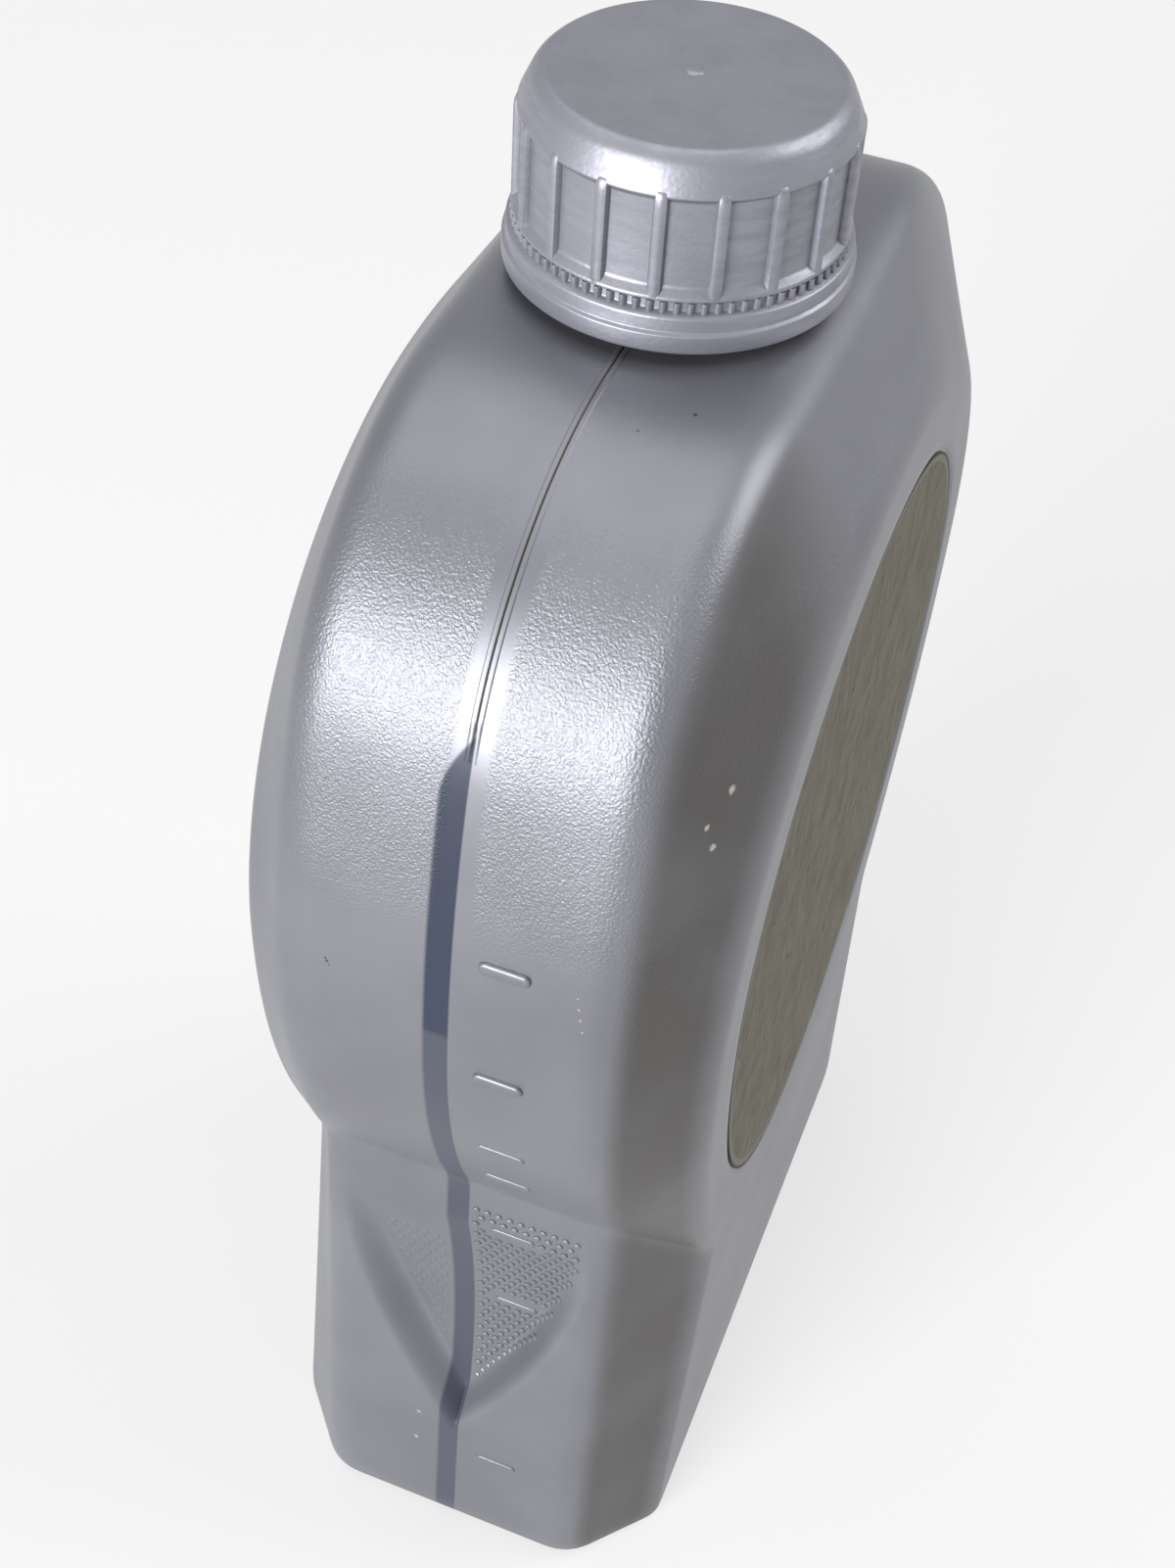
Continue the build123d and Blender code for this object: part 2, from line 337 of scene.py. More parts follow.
bottle = {
    "halfDepth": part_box("bottle_body")[1].y,
    "bandHalf": 20.0 * mm,
    "wall": 1.2 * mm,
    "base": (60.2 * mm, 48.0 * mm),          # half widths at the band and at the flat face
    "waist": ((56.4 * mm, 91.0 * mm), (38.6 * mm, 66.0 * mm)),   # half width, height of each
    "widest": (64.5 * mm, 54.5 * mm),
    "widestZ": 127.4 * mm,
    "shoulder": 59.7 * mm,
    "shoulderZ": 168.3 * mm,
    "top": 23.0 * mm,
    "topZ": 197.3 * mm,
    "faceShoulder": 34.0,                    # degrees round the face's circle
    "faceTop": 78.0,
    "bandEdge": 4.0 * mm,                    # reach of the soft edges to each side
    "faceEdge": 2.4 * mm,
    "pushUp": 2.0 * mm,
    "pushUpSlope": 4.0 * mm,
    "standingRim": 11.0 * mm,
    "footLayer": 1.5 * mm,                   # what lies lower belongs to the base
    "panelDepth": 0.4 * mm,
    "panelSlope": 0.35 * mm,
    "panelHalf": 45.8 * mm,
    "panelMidZ": 126.0 * mm,
    "panelLow": 68.8 * mm,
    "rimGap": 0.02,                          # share of the face left beside the panel's rim
    "hubRing": 0.04,                         # last loop, as a share of the panel
    "outlineSteps": (18, 38, 38, 28, 38, 12),    # foot, side, head's foot, head, shoulder, top
    "cavityStep": 2,                         # the inside takes every second point
}

# loops of the mesh from the middle of the band to the middle of a face
shellSteps = {"band": 14, "bandEdge": 8, "panel": 7, "faceEdge": 6, "face": 4, "rim": 2, "hub": 7}

scoop = {
    "radius": 140.0 * mm,
    "floor": 53.6 * mm,
    "midZ": 52.0 * mm,
    "topZ": 97.0 * mm,
    "topHalf": 19.5 * mm,
    "sideHalf": 11.8 * mm,
    "tipZ": 28.0 * mm,
    "lip": (0.6 * mm, 4.0 * mm),             # its soft edge reaches out and in from the shield
    "shelf": 3.0 * mm,                       # softness of the head's lower edge above it
    "innerX": 40.0 * mm,                     # nothing nearer the middle is pressed in
    "arcTop": 130.0 * mm,                    # its round floor is followed up to here
    "spare": 2.0 * mm,                       # room that the cavity keeps about it
    "fineX": 45.0 * mm,                      # bounds of the finer squares
    "fineBeside": 1.5 * mm,
    "fineBelow": 2.0 * mm,
    "fineCuts": 2,
}


def tangentArc(start, tangent, end, count):
    # arc that leaves the start along the tangent, without its last point
    start, end, tangent = np.array(start), np.array(end), np.array(tangent)
    normal = np.array((-tangent[1], tangent[0]))
    chord = end - start
    radius = chord @ chord / (2 * chord @ normal)
    turn = 2 * math.atan2(chord @ normal, chord @ tangent)
    a = np.linspace(0, turn, count, endpoint=False)[:, None]
    return start + radius * (np.sin(a) * tangent + (1 - np.cos(a)) * normal), turn


def straight(start, end, count):
    s = np.linspace(0, 1, count, endpoint=False)[:, None]
    return np.array(start) * (1 - s) + np.array(end) * s


def faceCircle(first, last, count):
    a = np.radians(np.linspace(first, last, count, endpoint=False))
    radius = bottle["widest"][1]
    return np.stack([radius * np.cos(a), bottle["widestZ"] + radius * np.sin(a)], axis=1)


def frontOutline(face, counts):
    # the loop seen from the front, from the middle of the foot up one side and down the other
    foot = (bottle["base"][face], 0.0)
    waist = bottle["waist"][face]
    widest = (bottle["widest"][face], bottle["widestZ"])
    lower = tangentArc(widest, (0, -1), waist, counts[2])[0]
    side = [straight((0, 0), foot, counts[0]), straight(foot, waist, counts[1]),
            np.vstack([waist, lower[:0:-1]])]
    if face:
        side += [faceCircle(0, bottle["faceShoulder"], counts[3]),
                 faceCircle(bottle["faceShoulder"], bottle["faceTop"], counts[4]),
                 faceCircle(bottle["faceTop"], 90, counts[5])]
        crest = (0.0, bottle["widestZ"] + bottle["widest"][1])
    else:
        shoulder = (bottle["shoulder"], bottle["shoulderZ"])
        upper, turn = tangentArc(widest, (0, 1), shoulder, counts[3])
        heading = (math.sin(-turn), math.cos(turn))
        top = (bottle["top"], bottle["topZ"])
        crest = (0.0, bottle["topZ"])
        side += [upper, tangentArc(shoulder, heading, top, counts[4])[0],
                 straight(top, crest, counts[5])]
    right = np.vstack(side)
    left = right[:0:-1] * (-1, 1)
    loop = np.vstack([right, crest, left])
    weights = (1, 4, 6, 4, 1)                # each point is blended with its neighbours
    blend = sum(w * np.roll(loop, k - 2, axis=0) for k, w in enumerate(weights))
    return blend / sum(weights)


def panelReach(direction):
    # distance from the panel's middle to its rim: round above, half an ellipse below
    wide, low = bottle["panelHalf"], bottle["panelLow"]
    tall = np.where(direction[:, 1] < 0, low, wide)
    return 1 / np.sqrt((direction[:, 0] / wide) ** 2 + (direction[:, 1] / tall) ** 2)


def along(a, b, count):
    # steps from a to b, without a
    return [a * (1 - s) + b * s for s in np.linspace(0, 1, count + 1)[1:]]


def bend(a, corner, b, count):
    # steps round a soft corner, without a
    return [(1 - s) ** 2 * a + 2 * s * (1 - s) * corner + s * s * b
            for s in np.linspace(0, 1, count + 1)[1:]]


def halfShell(counts):
    # loops from the middle of the band to the middle of the back face
    band2, face2 = frontOutline(0, counts), frontOutline(1, counts)
    size = len(band2)
    depth, half = bottle["halfDepth"], bottle["bandHalf"]

    def lift(flat, y):
        return np.stack([flat[:, 0], np.full(size, y), flat[:, 1]], axis=1)

    def unit(v):
        return v / np.linalg.norm(v, axis=1)[:, None]

    middle, edge, corner = lift(band2, 0), lift(band2, half), lift(face2, depth)
    panel = unit(corner - edge)
    bandEnd = lift(band2, half - bottle["bandEdge"])
    panelStart = edge + panel * bottle["bandEdge"]
    panelEnd = corner - panel * bottle["faceEdge"]
    hub = np.array((0.0, bottle["panelMidZ"]))
    inward = unit(hub - face2)
    faceStart = lift(face2 + inward * bottle["faceEdge"], depth)
    rim2 = hub - inward * panelReach(-inward)[:, None]
    rim = lift(rim2, depth)
    beside = rim - (rim - faceStart) * bottle["rimGap"]
    sunk = lift(rim2 + inward * bottle["panelSlope"], depth - bottle["panelDepth"])
    hubPoint = lift(np.tile(hub, (size, 1)), depth - bottle["panelDepth"])
    lastLoop = sunk * bottle["hubRing"] + hubPoint * (1 - bottle["hubRing"])
    loops = [middle] + along(middle, bandEnd, shellSteps["band"])
    loops += bend(bandEnd, edge, panelStart, shellSteps["bandEdge"])
    loops += along(panelStart, panelEnd, shellSteps["panel"])
    loops += bend(panelEnd, corner, faceStart, shellSteps["faceEdge"])
    loops += along(faceStart, beside, shellSteps["face"]) + along(rim, sunk, shellSteps["rim"])
    loops += along(sunk, lastLoop, shellSteps["hub"])
    return loops


def shieldHalf(z):
    # half width of the scoop's shield at a height, from the circle through its three corners
    a = np.array((scoop["topHalf"], scoop["topZ"]))
    b = np.array((scoop["sideHalf"], scoop["midZ"]))
    c = np.array((0.0, scoop["tipZ"]))
    m = np.array([b - a, c - a])
    centre = np.linalg.solve(2 * m, [b @ b - a @ a, c @ c - a @ a])
    radius = np.linalg.norm(a - centre)
    return centre[0] + np.sqrt(np.maximum(radius ** 2 - (z - centre[1]) ** 2, 0))


def scoopFloor(z):
    radius = scoop["radius"]
    return scoop["floor"] + radius - np.sqrt(radius ** 2 - (z - scoop["midZ"]) ** 2)


def pressScoops(points, spare=0.0):
    # hollow both narrow sides inside the shields, wider by the spare room
    x, y, z = points[..., 0], points[..., 1], points[..., 2]
    low, high = scoop["tipZ"] - spare, scoop["topZ"] + spare
    inScoop = (z > low) & (z < high + scoop["shelf"]) & (np.abs(x) > scoop["innerX"])
    half = shieldHalf(np.clip(z + spare, scoop["tipZ"], scoop["topZ"])) + spare
    sides = smoothStep(-scoop["lip"][0], scoop["lip"][1], half - np.abs(y))
    top = smoothStep(-scoop["shelf"], scoop["shelf"], high - z)
    depth = np.abs(x) - scoopFloor(np.clip(z, 0, scoop["arcTop"])) + spare / 2
    points[..., 0] -= np.sign(x) * np.maximum(depth, 0) * sides * top * inScoop
    return points


def pressBase(points):
    # the hollow under the base, inside the standing rim
    x, y, z = points[..., 0], points[..., 1], points[..., 2]
    inX = bottle["base"][0] - bottle["standingRim"] - np.abs(x)
    inY = bottle["halfDepth"] - bottle["standingRim"] - np.abs(y)
    share = smoothStep(0, bottle["pushUpSlope"], np.minimum(inX, inY))
    points[..., 2] += share * (z < bottle["footLayer"]) * bottle["pushUp"]
    return points


def bottleGrid(counts):
    loops = halfShell(counts)
    mirrored = [loop * (1, -1, 1) for loop in loops[:0:-1]]
    return pressBase(np.array(mirrored + loops))


def refine(mesh, cuts):
    # finer squares where the scoops are pressed in
    bm = bmesh.new()
    bm.from_mesh(mesh)
    reach = bottle["bandHalf"] + scoop["fineBeside"]
    low, high = scoop["tipZ"] - scoop["fineBelow"], scoop["topZ"] + 2 * scoop["shelf"]

    def inField(spot):
        return abs(spot.x) > scoop["fineX"] and abs(spot.y) < reach and low < spot.z < high

    chosen = [e for e in bm.edges if all(inField(v.co) for v in e.verts)]
    bmesh.ops.subdivide_edges(bm, edges=chosen, cuts=cuts, use_grid_fill=True)
    bm.to_mesh(mesh)
    bm.free()
    spots = np.zeros(len(mesh.vertices) * 3)
    mesh.vertices.foreach_get("co", spots)
    pressed = pressScoops(spots.reshape(-1, 3))
    mesh.vertices.foreach_set("co", pressed.reshape(-1))
    mesh.update()


def inwards(grid, mesh, depth):
    # the same grid moved in along the surface's normals
    normals = np.zeros(len(mesh.vertices) * 3)
    mesh.vertices.foreach_get("normal", normals)
    count = grid.shape[0] * grid.shape[1]
    return grid - normals.reshape(-1, 3)[:count].reshape(grid.shape) * depth


bodyGrid = bottleGrid(bottle["outlineSteps"])
body = linkObject("bottleBody", closedGrid("bottleBody", bodyGrid))
hollowGrid = pressScoops(bodyGrid.copy(), scoop["spare"])
cavity = linkObject("cavity", closedGrid("cavity", hollowGrid))
coarse = slice(None, None, bottle["cavityStep"])
innerGrid = inwards(hollowGrid, cavity.data, bottle["wall"])[coarse, coarse]
cavity.data = closedGrid("cavity", innerGrid)
refine(body.data, scoop["fineCuts"])

neck = {
    "radius": 15.2 * mm,
    "foot": 1.6 * mm,
    "sunk": 3.0 * mm,                        # into the body below
    "top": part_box("bottle_body")[1].z,
    "beadZ": 201.6 * mm,
    "beadHalf": 0.9 * mm,
    "bead": 1.3 * mm,
    "softness": (0, 0, 0.8, 0.8, 0.2, 0.3, 0.3, 0.5, 0),    # of its corners, in millimetres
    "steps": 128,
    "bore": 13.0 * mm,
    "boreSunk": 6.0 * mm,
    "boreOver": 2.0 * mm,
    "boreSteps": 96,
    "threadLow": 206.4 * mm,
    "threadTurns": 2.25,
    "threadPitch": 4.0 * mm,
    "threadProud": 1.1 * mm,
    "threadHalf": 1.1 * mm,
    "threadRoot": 0.3 * mm,                  # sunk into the neck
    "threadEnds": 12.0,                      # each end fades over one part in so many
    "threadSteps": 64,
    "threadSides": 10,
}


def neckSolid():
    r, foot, top, flat = neck["radius"], neck["foot"], neck["top"], bottle["topZ"]
    low = flat - neck["sunk"]
    beadLow, beadHigh = neck["beadZ"] - neck["beadHalf"], neck["beadZ"] + neck["beadHalf"]
    profile = [(0, low), (r + foot, low), (r + foot, flat), (r, flat + foot), (r, beadLow),
               (r + neck["bead"], beadLow), (r, beadHigh), (r, top), (0, top)]
    softness = [s * mm for s in neck["softness"]]
    return linkObject("neck", lathe("neck", rounded(profile, softness), neck["steps"]))


def boreTool():
    low, high = bottle["topZ"] - neck["boreSunk"], neck["top"] + neck["boreOver"]
    profile = [(0, low), (neck["bore"], low), (neck["bore"], high), (0, high)]
    return linkObject("bore", lathe("bore", profile, neck["boreSteps"]))


def threadRidge():
    # one rounded ridge that climbs the neck and fades at both ends
    turns, sides, root = neck["threadTurns"], neck["threadSides"], neck["threadRoot"]
    steps, ends = int(neck["threadSteps"] * turns), neck["threadEnds"]
    loops = []
    for i in range(steps + 1):
        share = i / steps
        a = share * turns * 2 * math.pi
        fade = max(0.02, min(1.0, ends * share, ends * (1 - share))) ** 0.5
        z = neck["threadLow"] + share * turns * neck["threadPitch"]
        section = []
        for k in range(sides):
            b = 2 * math.pi * k / sides
            proud = (neck["threadProud"] + root) * fade * max(math.cos(b), -0.3)
            r = neck["radius"] - root + proud
            climb = neck["threadHalf"] * fade * math.sin(b)
            section.append((r * math.cos(a), r * math.sin(a), z + climb))
        loops.append(section)
    return linkObject("thread", closedGrid("thread", np.array(loops)))


def combine(target, tool, operation):
    modifier = target.modifiers.new(operation, "BOOLEAN")
    modifier.operation, modifier.solver, modifier.object = operation, "EXACT", tool
    plainMesh(target)
    bpy.data.objects.remove(tool)


combine(body, neckSolid(), "UNION")
combine(body, cavity, "DIFFERENCE")
combine(body, boreTool(), "DIFFERENCE")
print("bottle body:", len(body.data.polygons), "faces")

levelMarks = {
    "strong": (126.3, 145.6),                # heights in millimetres
    "faint": (22.0, 60.0, 82.0, 99.5, 109.4),
    "offset": 7.0 * mm,
    "length": 6.3 * mm,
    "height": {"strong": 1.9 * mm, "faint": 1.3 * mm},
    "proud": {"strong": 0.5 * mm, "faint": 0.22 * mm},
    "section": ((1.0, -0.8), (1.0, 0.3), (0.93, 0.62), (0.78, 0.87), (0.5, 1.0)),
    "sides": 24,
}


def onSide(y, z, side=-1):
    # where a line at this y and height meets a narrow side, and the way it faces
    start, inward = Vector((side * farOut, y, z)), Vector((-side, 0, 0))
    hit, spot, facing, _ = body.ray_cast(start, inward)
    return (spot, facing) if hit else (None, None)


def pointsMesh(name, spots):
    mesh = bpy.data.meshes.new(name)
    mesh.from_pydata([s for s, _ in spots], [], [])
    facing = mesh.attributes.new("facing", "FLOAT_VECTOR", "POINT")
    facing.data.foreach_set("vector", [c for _, f in spots for c in f])
    return linkObject(name, mesh)


def markBar(height, proud):
    # a low bar with round ends, standing along Z
    loops, sides = [], levelMarks["sides"]
    half, reach = height / 2, levelMarks["length"] / 2 - height / 2
    for share, rise in levelMarks["section"]:
        loop = []
        for k in range(sides):
            a = 2 * math.pi * (k + 0.5) / sides
            run = half * share * math.cos(a)
            end = reach if run > 0 else -reach
            loop.append((half * share * math.sin(a), end + run, rise * proud))
        loops.append(loop)
    return linkObject("markBar", closedGrid("markBar", np.array(loops)))


silver, silverTree, silverShader = newMaterial("silver bottle plastic")
relief = []
outward = Vector((-1, 0, 0))
for kind in ("strong", "faint"):
    bar = markBar(levelMarks["height"][kind], levelMarks["proud"][kind])
    spots = [onSide(-levelMarks["offset"], h * mm) for h in levelMarks[kind]]
    leaning = [(spot, (facing + outward).normalized()) for spot, facing in spots]
    marks = pointsMesh(kind + "Marks", leaning)
    relief.append(growNodes(marks, scatterOn, {"Shape": bar, "Size": 1.0, "Material": silver}))
    bpy.data.objects.remove(bar)
print("level marks:", len(levelMarks["strong"]) + len(levelMarks["faint"]))

gripDots = {
    "pitch": 1.6 * mm,                       # of the diamond pattern in the scoops
    "columns": 16,                           # to each side of the middle
    "radius": 0.6 * mm,
    "proud": {"high": 0.3 * mm, "low": 0.13 * mm},
    "section": ((1.0, -0.5), (0.86, 0.5), (0.45, 0.92)),
    "sides": 8,
    "margin": 2.4 * mm,
    "aboveTip": 3.0 * mm,
    "belowTop": 9.0 * mm,
    "clearMark": (1.6 * mm, 3.9 * mm),       # smooth field about each mark
    "clearStrip": (-1.5 * mm, 3.4 * mm),
    "wornTop": 74.0 * mm,                    # the field behind the strip is smaller
    "wornMargin": 2.5 * mm,
}


def gripDot(proud):
    radius, sides, loops = gripDots["radius"], gripDots["sides"], []
    for share, rise in gripDots["section"]:
        loop = []
        for k in range(sides):
            a = 2 * math.pi * k / sides
            loop.append((radius * share * math.cos(a), radius * share * math.sin(a), proud * rise))
        loops.append(loop)
    return linkObject("gripDot", closedGrid("gripDot", np.array(loops)))


def dotSpots(side):
    # diamond pattern inside the shield, on the sight side clear of the strip and the marks
    step, spots = gripDots["pitch"], []
    low, high = scoop["tipZ"] + gripDots["aboveTip"], scoop["topZ"] - gripDots["belowTop"]
    tall, wide = gripDots["clearMark"]
    for row in range(int((high - low) / step)):
        z = low + row * step
        half = float(shieldHalf(z)) - gripDots["margin"]
        byMark = any(abs(z - h * mm) < tall for h in levelMarks["faint"])
        for column in range(-gripDots["columns"], gripDots["columns"] + 1):
            y = (column + 0.5 * (row % 2)) * step
            onMark = byMark and abs(y + levelMarks["offset"]) < wide
            onStrip = gripDots["clearStrip"][0] < y < gripDots["clearStrip"][1]
            wornOff = y > 0 and (z > gripDots["wornTop"] or y > half - gripDots["wornMargin"])
            if abs(y) < half and (side > 0 or not (onMark or onStrip or wornOff)):
                spots.append(onSide(y, z, side))
    return spots


# those behind the strip are worn low
allSpots = dotSpots(-1) + dotSpots(1)
worn = [spot[0].x < 0 and spot[0].y > 0 for spot in allSpots]
for kind, wanted in (("high", False), ("low", True)):
    dot = gripDot(gripDots["proud"][kind])
    dots = pointsMesh(kind + "Dots", [spot for spot, low in zip(allSpots, worn) if low == wanted])
    relief.append(growNodes(dots, scatterOn, {"Shape": dot, "Size": 1.0, "Material": silver}))
    bpy.data.objects.remove(dot)
print("grip dots:", len(allSpots))

seam = {
    "y": -0.35 * mm,
    "lowZ": 170.4 * mm,
    "run": (17.5, 59.2),                     # from the middle outwards, in millimetres
    "steps": 90,
    "fadeSteps": 5,
    "gap": 0.36 * mm,                        # from the middle to each raised line
    "half": 0.36 * mm,
    "proud": 0.17 * mm,
    "sides": 8,
}


def seamLine(side, offset):
    # a fine raised line that runs down the shoulder from the neck and fades out
    down, path, loops = Vector((0, 0, -1)), [], []
    for x in np.linspace(*seam["run"], seam["steps"]) * mm:
        start = Vector((side * x, seam["y"] + offset, aboveAll))
        hit, spot, facing, _ = body.ray_cast(start, down)
        if hit and spot.z > seam["lowZ"]:
            path.append((spot, facing))
    for i, (spot, facing) in enumerate(path):
        fade = min(1.0, (len(path) - i) / seam["fadeSteps"])
        loop = []
        for k in range(seam["sides"]):
            a = 2 * math.pi * k / seam["sides"]
            wide = Vector((0, seam["half"] * math.cos(a), 0))
            loop.append(tuple(spot + wide + facing * seam["proud"] * fade * math.sin(a)))
        loops.append(loop)
    return linkObject("seamLine", closedGrid("seamLine", np.array(loops)))


relief += [seamLine(side, offset) for side in (-1, 1) for offset in (-seam["gap"], seam["gap"])]

thread = threadRidge()
joinInto(body, relief + [thread])
body.data.materials.clear()
body.data.materials.append(silver)
shadeSoft(body)
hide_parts("bottle_body")
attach(body, "bottle")

# satin silver with a darker sight strip, a double seam line and mould grain

silverLook = {
    "colour": (0.213, 0.217, 0.242),
    "shade": (0.184, 0.187, 0.209),
    "cloudScale": 45.0,
    "metallic": 0.6,
    "roughness": 0.41,
    "panelShade": (0.075, 0.069, 0.060),          # painted shade on the slanted panel beside the label, standing in for the dark reflection on that side
    "panelShadeAmount": 0.8,
    "panelShadeX": (-40.0 * mm, -15.0 * mm),
    "panelShadeY": (-29.4 * mm, -21.0 * mm),
    "panelShadeSoft": 1.6 * mm,
    "stripHigh": (0.012, 0.020, 0.046),      # empty part, above the level of the oil
    "stripLow": (0.046, 0.052, 0.076),
    "levelZ": 131.8 * mm,
    "levelSoft": 0.5 * mm,
    "stripX": -30.0 * mm,
    "stripSide": (-0.6 * mm, 2.6 * mm),
    "stripSoft": (0.12 * mm, 0.3 * mm),
    "stripPoint": (167.0 * mm, 174.5 * mm),  # full width below, nothing above
    "grainScale": 3000.0,
    "grainHeight": 0.12 * mm,
    "grainBand": (143.0 * mm, 156.0 * mm, 189.0 * mm, 196.5 * mm),
    "grainPanel": (130.0 * mm, 140.0 * mm, 182.0 * mm, 189.0 * mm),
    "grainFade": 1.0 * mm,
    "grainMargin": (1.6 * mm, 2.8 * mm),     # smooth beside the seam
    "flowScale": 300.0,
    "flowHeight": 0.05,                      # as a share of the grain's
    # painted shade in the crease between the seam's two raised lines
    "grooveShade": (0.110, 0.104, 0.094),
    "grooveShadeHalf": (0.08 * mm, 0.2 * mm),
}

# flecks with their places and radii in millimetres
flecks = {
    "pale": (0.50, 0.47, 0.41),
    "palePlaces": [
        ((-48.3, -25.9, 168.6), 0.75), ((-52.2, -24.7, 166.0), 0.6), ((-52.0, -25.6, 163.1), 0.7),
        ((-58.8, 5.9, 28.5), 0.6), ((-59.2, 6.3, 21.0), 0.55), ((-57.4, -19.3, 68.8), 0.6),
        ((-63.6, -15.6, 145.6), 0.22), ((-63.8, -15.9, 144.0), 0.2),
        ((-63.9, -16.2, 142.4), 0.22), ((-64.0, -16.6, 140.6), 0.2)],
    "dark": (0.03, 0.028, 0.03),
    "darkPlaces": [
        ((-64.2, 14.9, 138.4), 0.28), ((-64.2, 14.7, 137.9), 0.28), ((-64.2, 14.5, 137.4), 0.24),
        ((-25.7, -11.2, 197.2), 0.45), ((-30.2, -6.4, 196.6), 0.3)],
    "raggedScale": 1500.0,
    "ragged": 0.7 * mm,                      # how far an edge wanders
    "core": 0.35,                            # full strength and end, as shares of the radius
    "reach": 0.9,
}


def fleckMask(tree, spot, places):
    # small ragged flecks about given places
    wander = put(tree, "ShaderNodeTexNoise", {"Vector": spot, "Scale": flecks["raggedScale"],
                                              "Detail": 2.0}).outputs["Color"]
    ragged = vectorCalc(tree, "MULTIPLY", wander, (flecks["ragged"],) * 3)[0]
    moved = vectorCalc(tree, "ADD", spot, ragged)[0]
    mask = None
    for centre, radius in places:
        aim = tuple(c * mm + flecks["ragged"] / 2 for c in centre)
        away = vectorCalc(tree, "DISTANCE", moved, aim)["Value"]
        core, reach = radius * flecks["core"] * mm, radius * flecks["reach"] * mm
        fleck = ramp(tree, away, core, reach, 1.0, 0.0)
        mask = fleck if mask is None else calc(tree, "MAXIMUM", mask, fleck)
    return mask


def riseAndFall(tree, value, limits):
    # rises between the first two limits and falls between the last two
    return calc(tree, "MULTIPLY", ramp(tree, value, limits[0], limits[1]),
                ramp(tree, value, limits[2], limits[3], 1.0, 0.0))


def stripMask(tree, x, y, z):
    right, left = silverLook["stripSide"]
    soft, pointSoft = silverLook["stripSoft"]
    taper = calc(tree, "SQRT", ramp(tree, z, *silverLook["stripPoint"], 1.0, 0.0))
    edge = calc(tree, "MULTIPLY_ADD", taper, left - right, right)
    inside = calc(tree, "MULTIPLY", ramp(tree, y, right - soft, right + soft),
                  ramp(tree, calc(tree, "SUBTRACT", y, edge), -pointSoft, pointSoft, 1.0, 0.0))
    below = calc(tree, "LESS_THAN", z, silverLook["stripPoint"][1])
    sightSide = calc(tree, "LESS_THAN", x, silverLook["stripX"])
    return calc(tree, "MULTIPLY", calc(tree, "MULTIPLY", inside, below), sightSide)


def grainRelief(tree, spot, y, z, fromSeam):
    off, half, fade = calc(tree, "ABSOLUTE", y), bottle["bandHalf"], silverLook["grainFade"]
    onBand = calc(tree, "MULTIPLY", riseAndFall(tree, z, silverLook["grainBand"]),
                  ramp(tree, off, half - fade, half + 2 * fade, 1.0, 0.0))
    onPanel = calc(tree, "MULTIPLY", riseAndFall(tree, z, silverLook["grainPanel"]),
                   between(tree, off, half, bottle["halfDepth"] - fade, fade))
    amount = calc(tree, "MULTIPLY", calc(tree, "ADD", onBand, onPanel),
                  ramp(tree, fromSeam, *silverLook["grainMargin"]))
    return calc(tree, "MULTIPLY", noise(tree, spot, silverLook["grainScale"], 2.0, 0.5), amount)


def silverTone(tree, spot, x, y, z, fromSeam):
    # clouded silver with painted shade on the slanted panel beside the label, flecks and painted
    # shade in the seam's groove
    cloud = noise(tree, spot, silverLook["cloudScale"], 4.0)
    tone = blendColour(tree, ramp(tree, cloud, 0.3, 0.7), silverLook["colour"], silverLook["shade"])
    # painted shade: the slanted panel beside the label is darkened and mottled by the cloud,
    # standing in for the dark reflection on that side
    film = calc(tree, "MULTIPLY", between(tree, y, *silverLook["panelShadeY"], silverLook["panelShadeSoft"]),
                ramp(tree, x, *silverLook["panelShadeX"], silverLook["panelShadeAmount"], 0.0))
    film = calc(tree, "MULTIPLY", film, ramp(tree, cloud, 0.2, 0.6, 0.75, 1.0))
    tone = blendColour(tree, film, tone, silverLook["panelShade"])
    for kind in ("pale", "dark"):
        tone = blendColour(tree, fleckMask(tree, spot, flecks[kind + "Places"]), tone, flecks[kind])
    # painted shade along the crease between the seam's two raised lines
    grooveShade = calc(tree, "MULTIPLY", ramp(tree, fromSeam, *silverLook["grooveShadeHalf"], 1.0, 0.0),
                  calc(tree, "GREATER_THAN", z, seam["lowZ"]))
    return blendColour(tree, grooveShade, tone, silverLook["grooveShade"])


def paintSilver(tree, shader):
    spot, x, y, z = place(tree)
    fromSeam = calc(tree, "ABSOLUTE", calc(tree, "SUBTRACT", y, seam["y"]))
    strip = stripMask(tree, x, y, z)
    levelZ, soft = silverLook["levelZ"], silverLook["levelSoft"]
    sight = blendColour(tree, ramp(tree, z, levelZ - soft, levelZ + soft),
                        silverLook["stripLow"], silverLook["stripHigh"])
    tone = blendColour(tree, strip, silverTone(tree, spot, x, y, z, fromSeam), sight)
    tree.links.new(tone, shader.inputs["Base Color"])
    tree.links.new(ramp(tree, strip, 0.0, 1.0, silverLook["metallic"], 0.0),
                   shader.inputs["Metallic"])
    flow = calc(tree, "MULTIPLY", noise(tree, spot, silverLook["flowScale"], 2.0),
                silverLook["flowHeight"])
    height = calc(tree, "ADD", grainRelief(tree, spot, y, z, fromSeam), flow)
    bump = put(tree, "ShaderNodeBump", {"Height": height, "Distance": silverLook["grainHeight"],
                                        "Strength": 1.0})
    tree.links.new(bump.outputs[0], shader.inputs["Normal"])
    shader.inputs["Roughness"].default_value = silverLook["roughness"]


paintSilver(silverTree, silverShader)
print("silver plastic painted")


# screw cap: lathe form with slim ribs all round

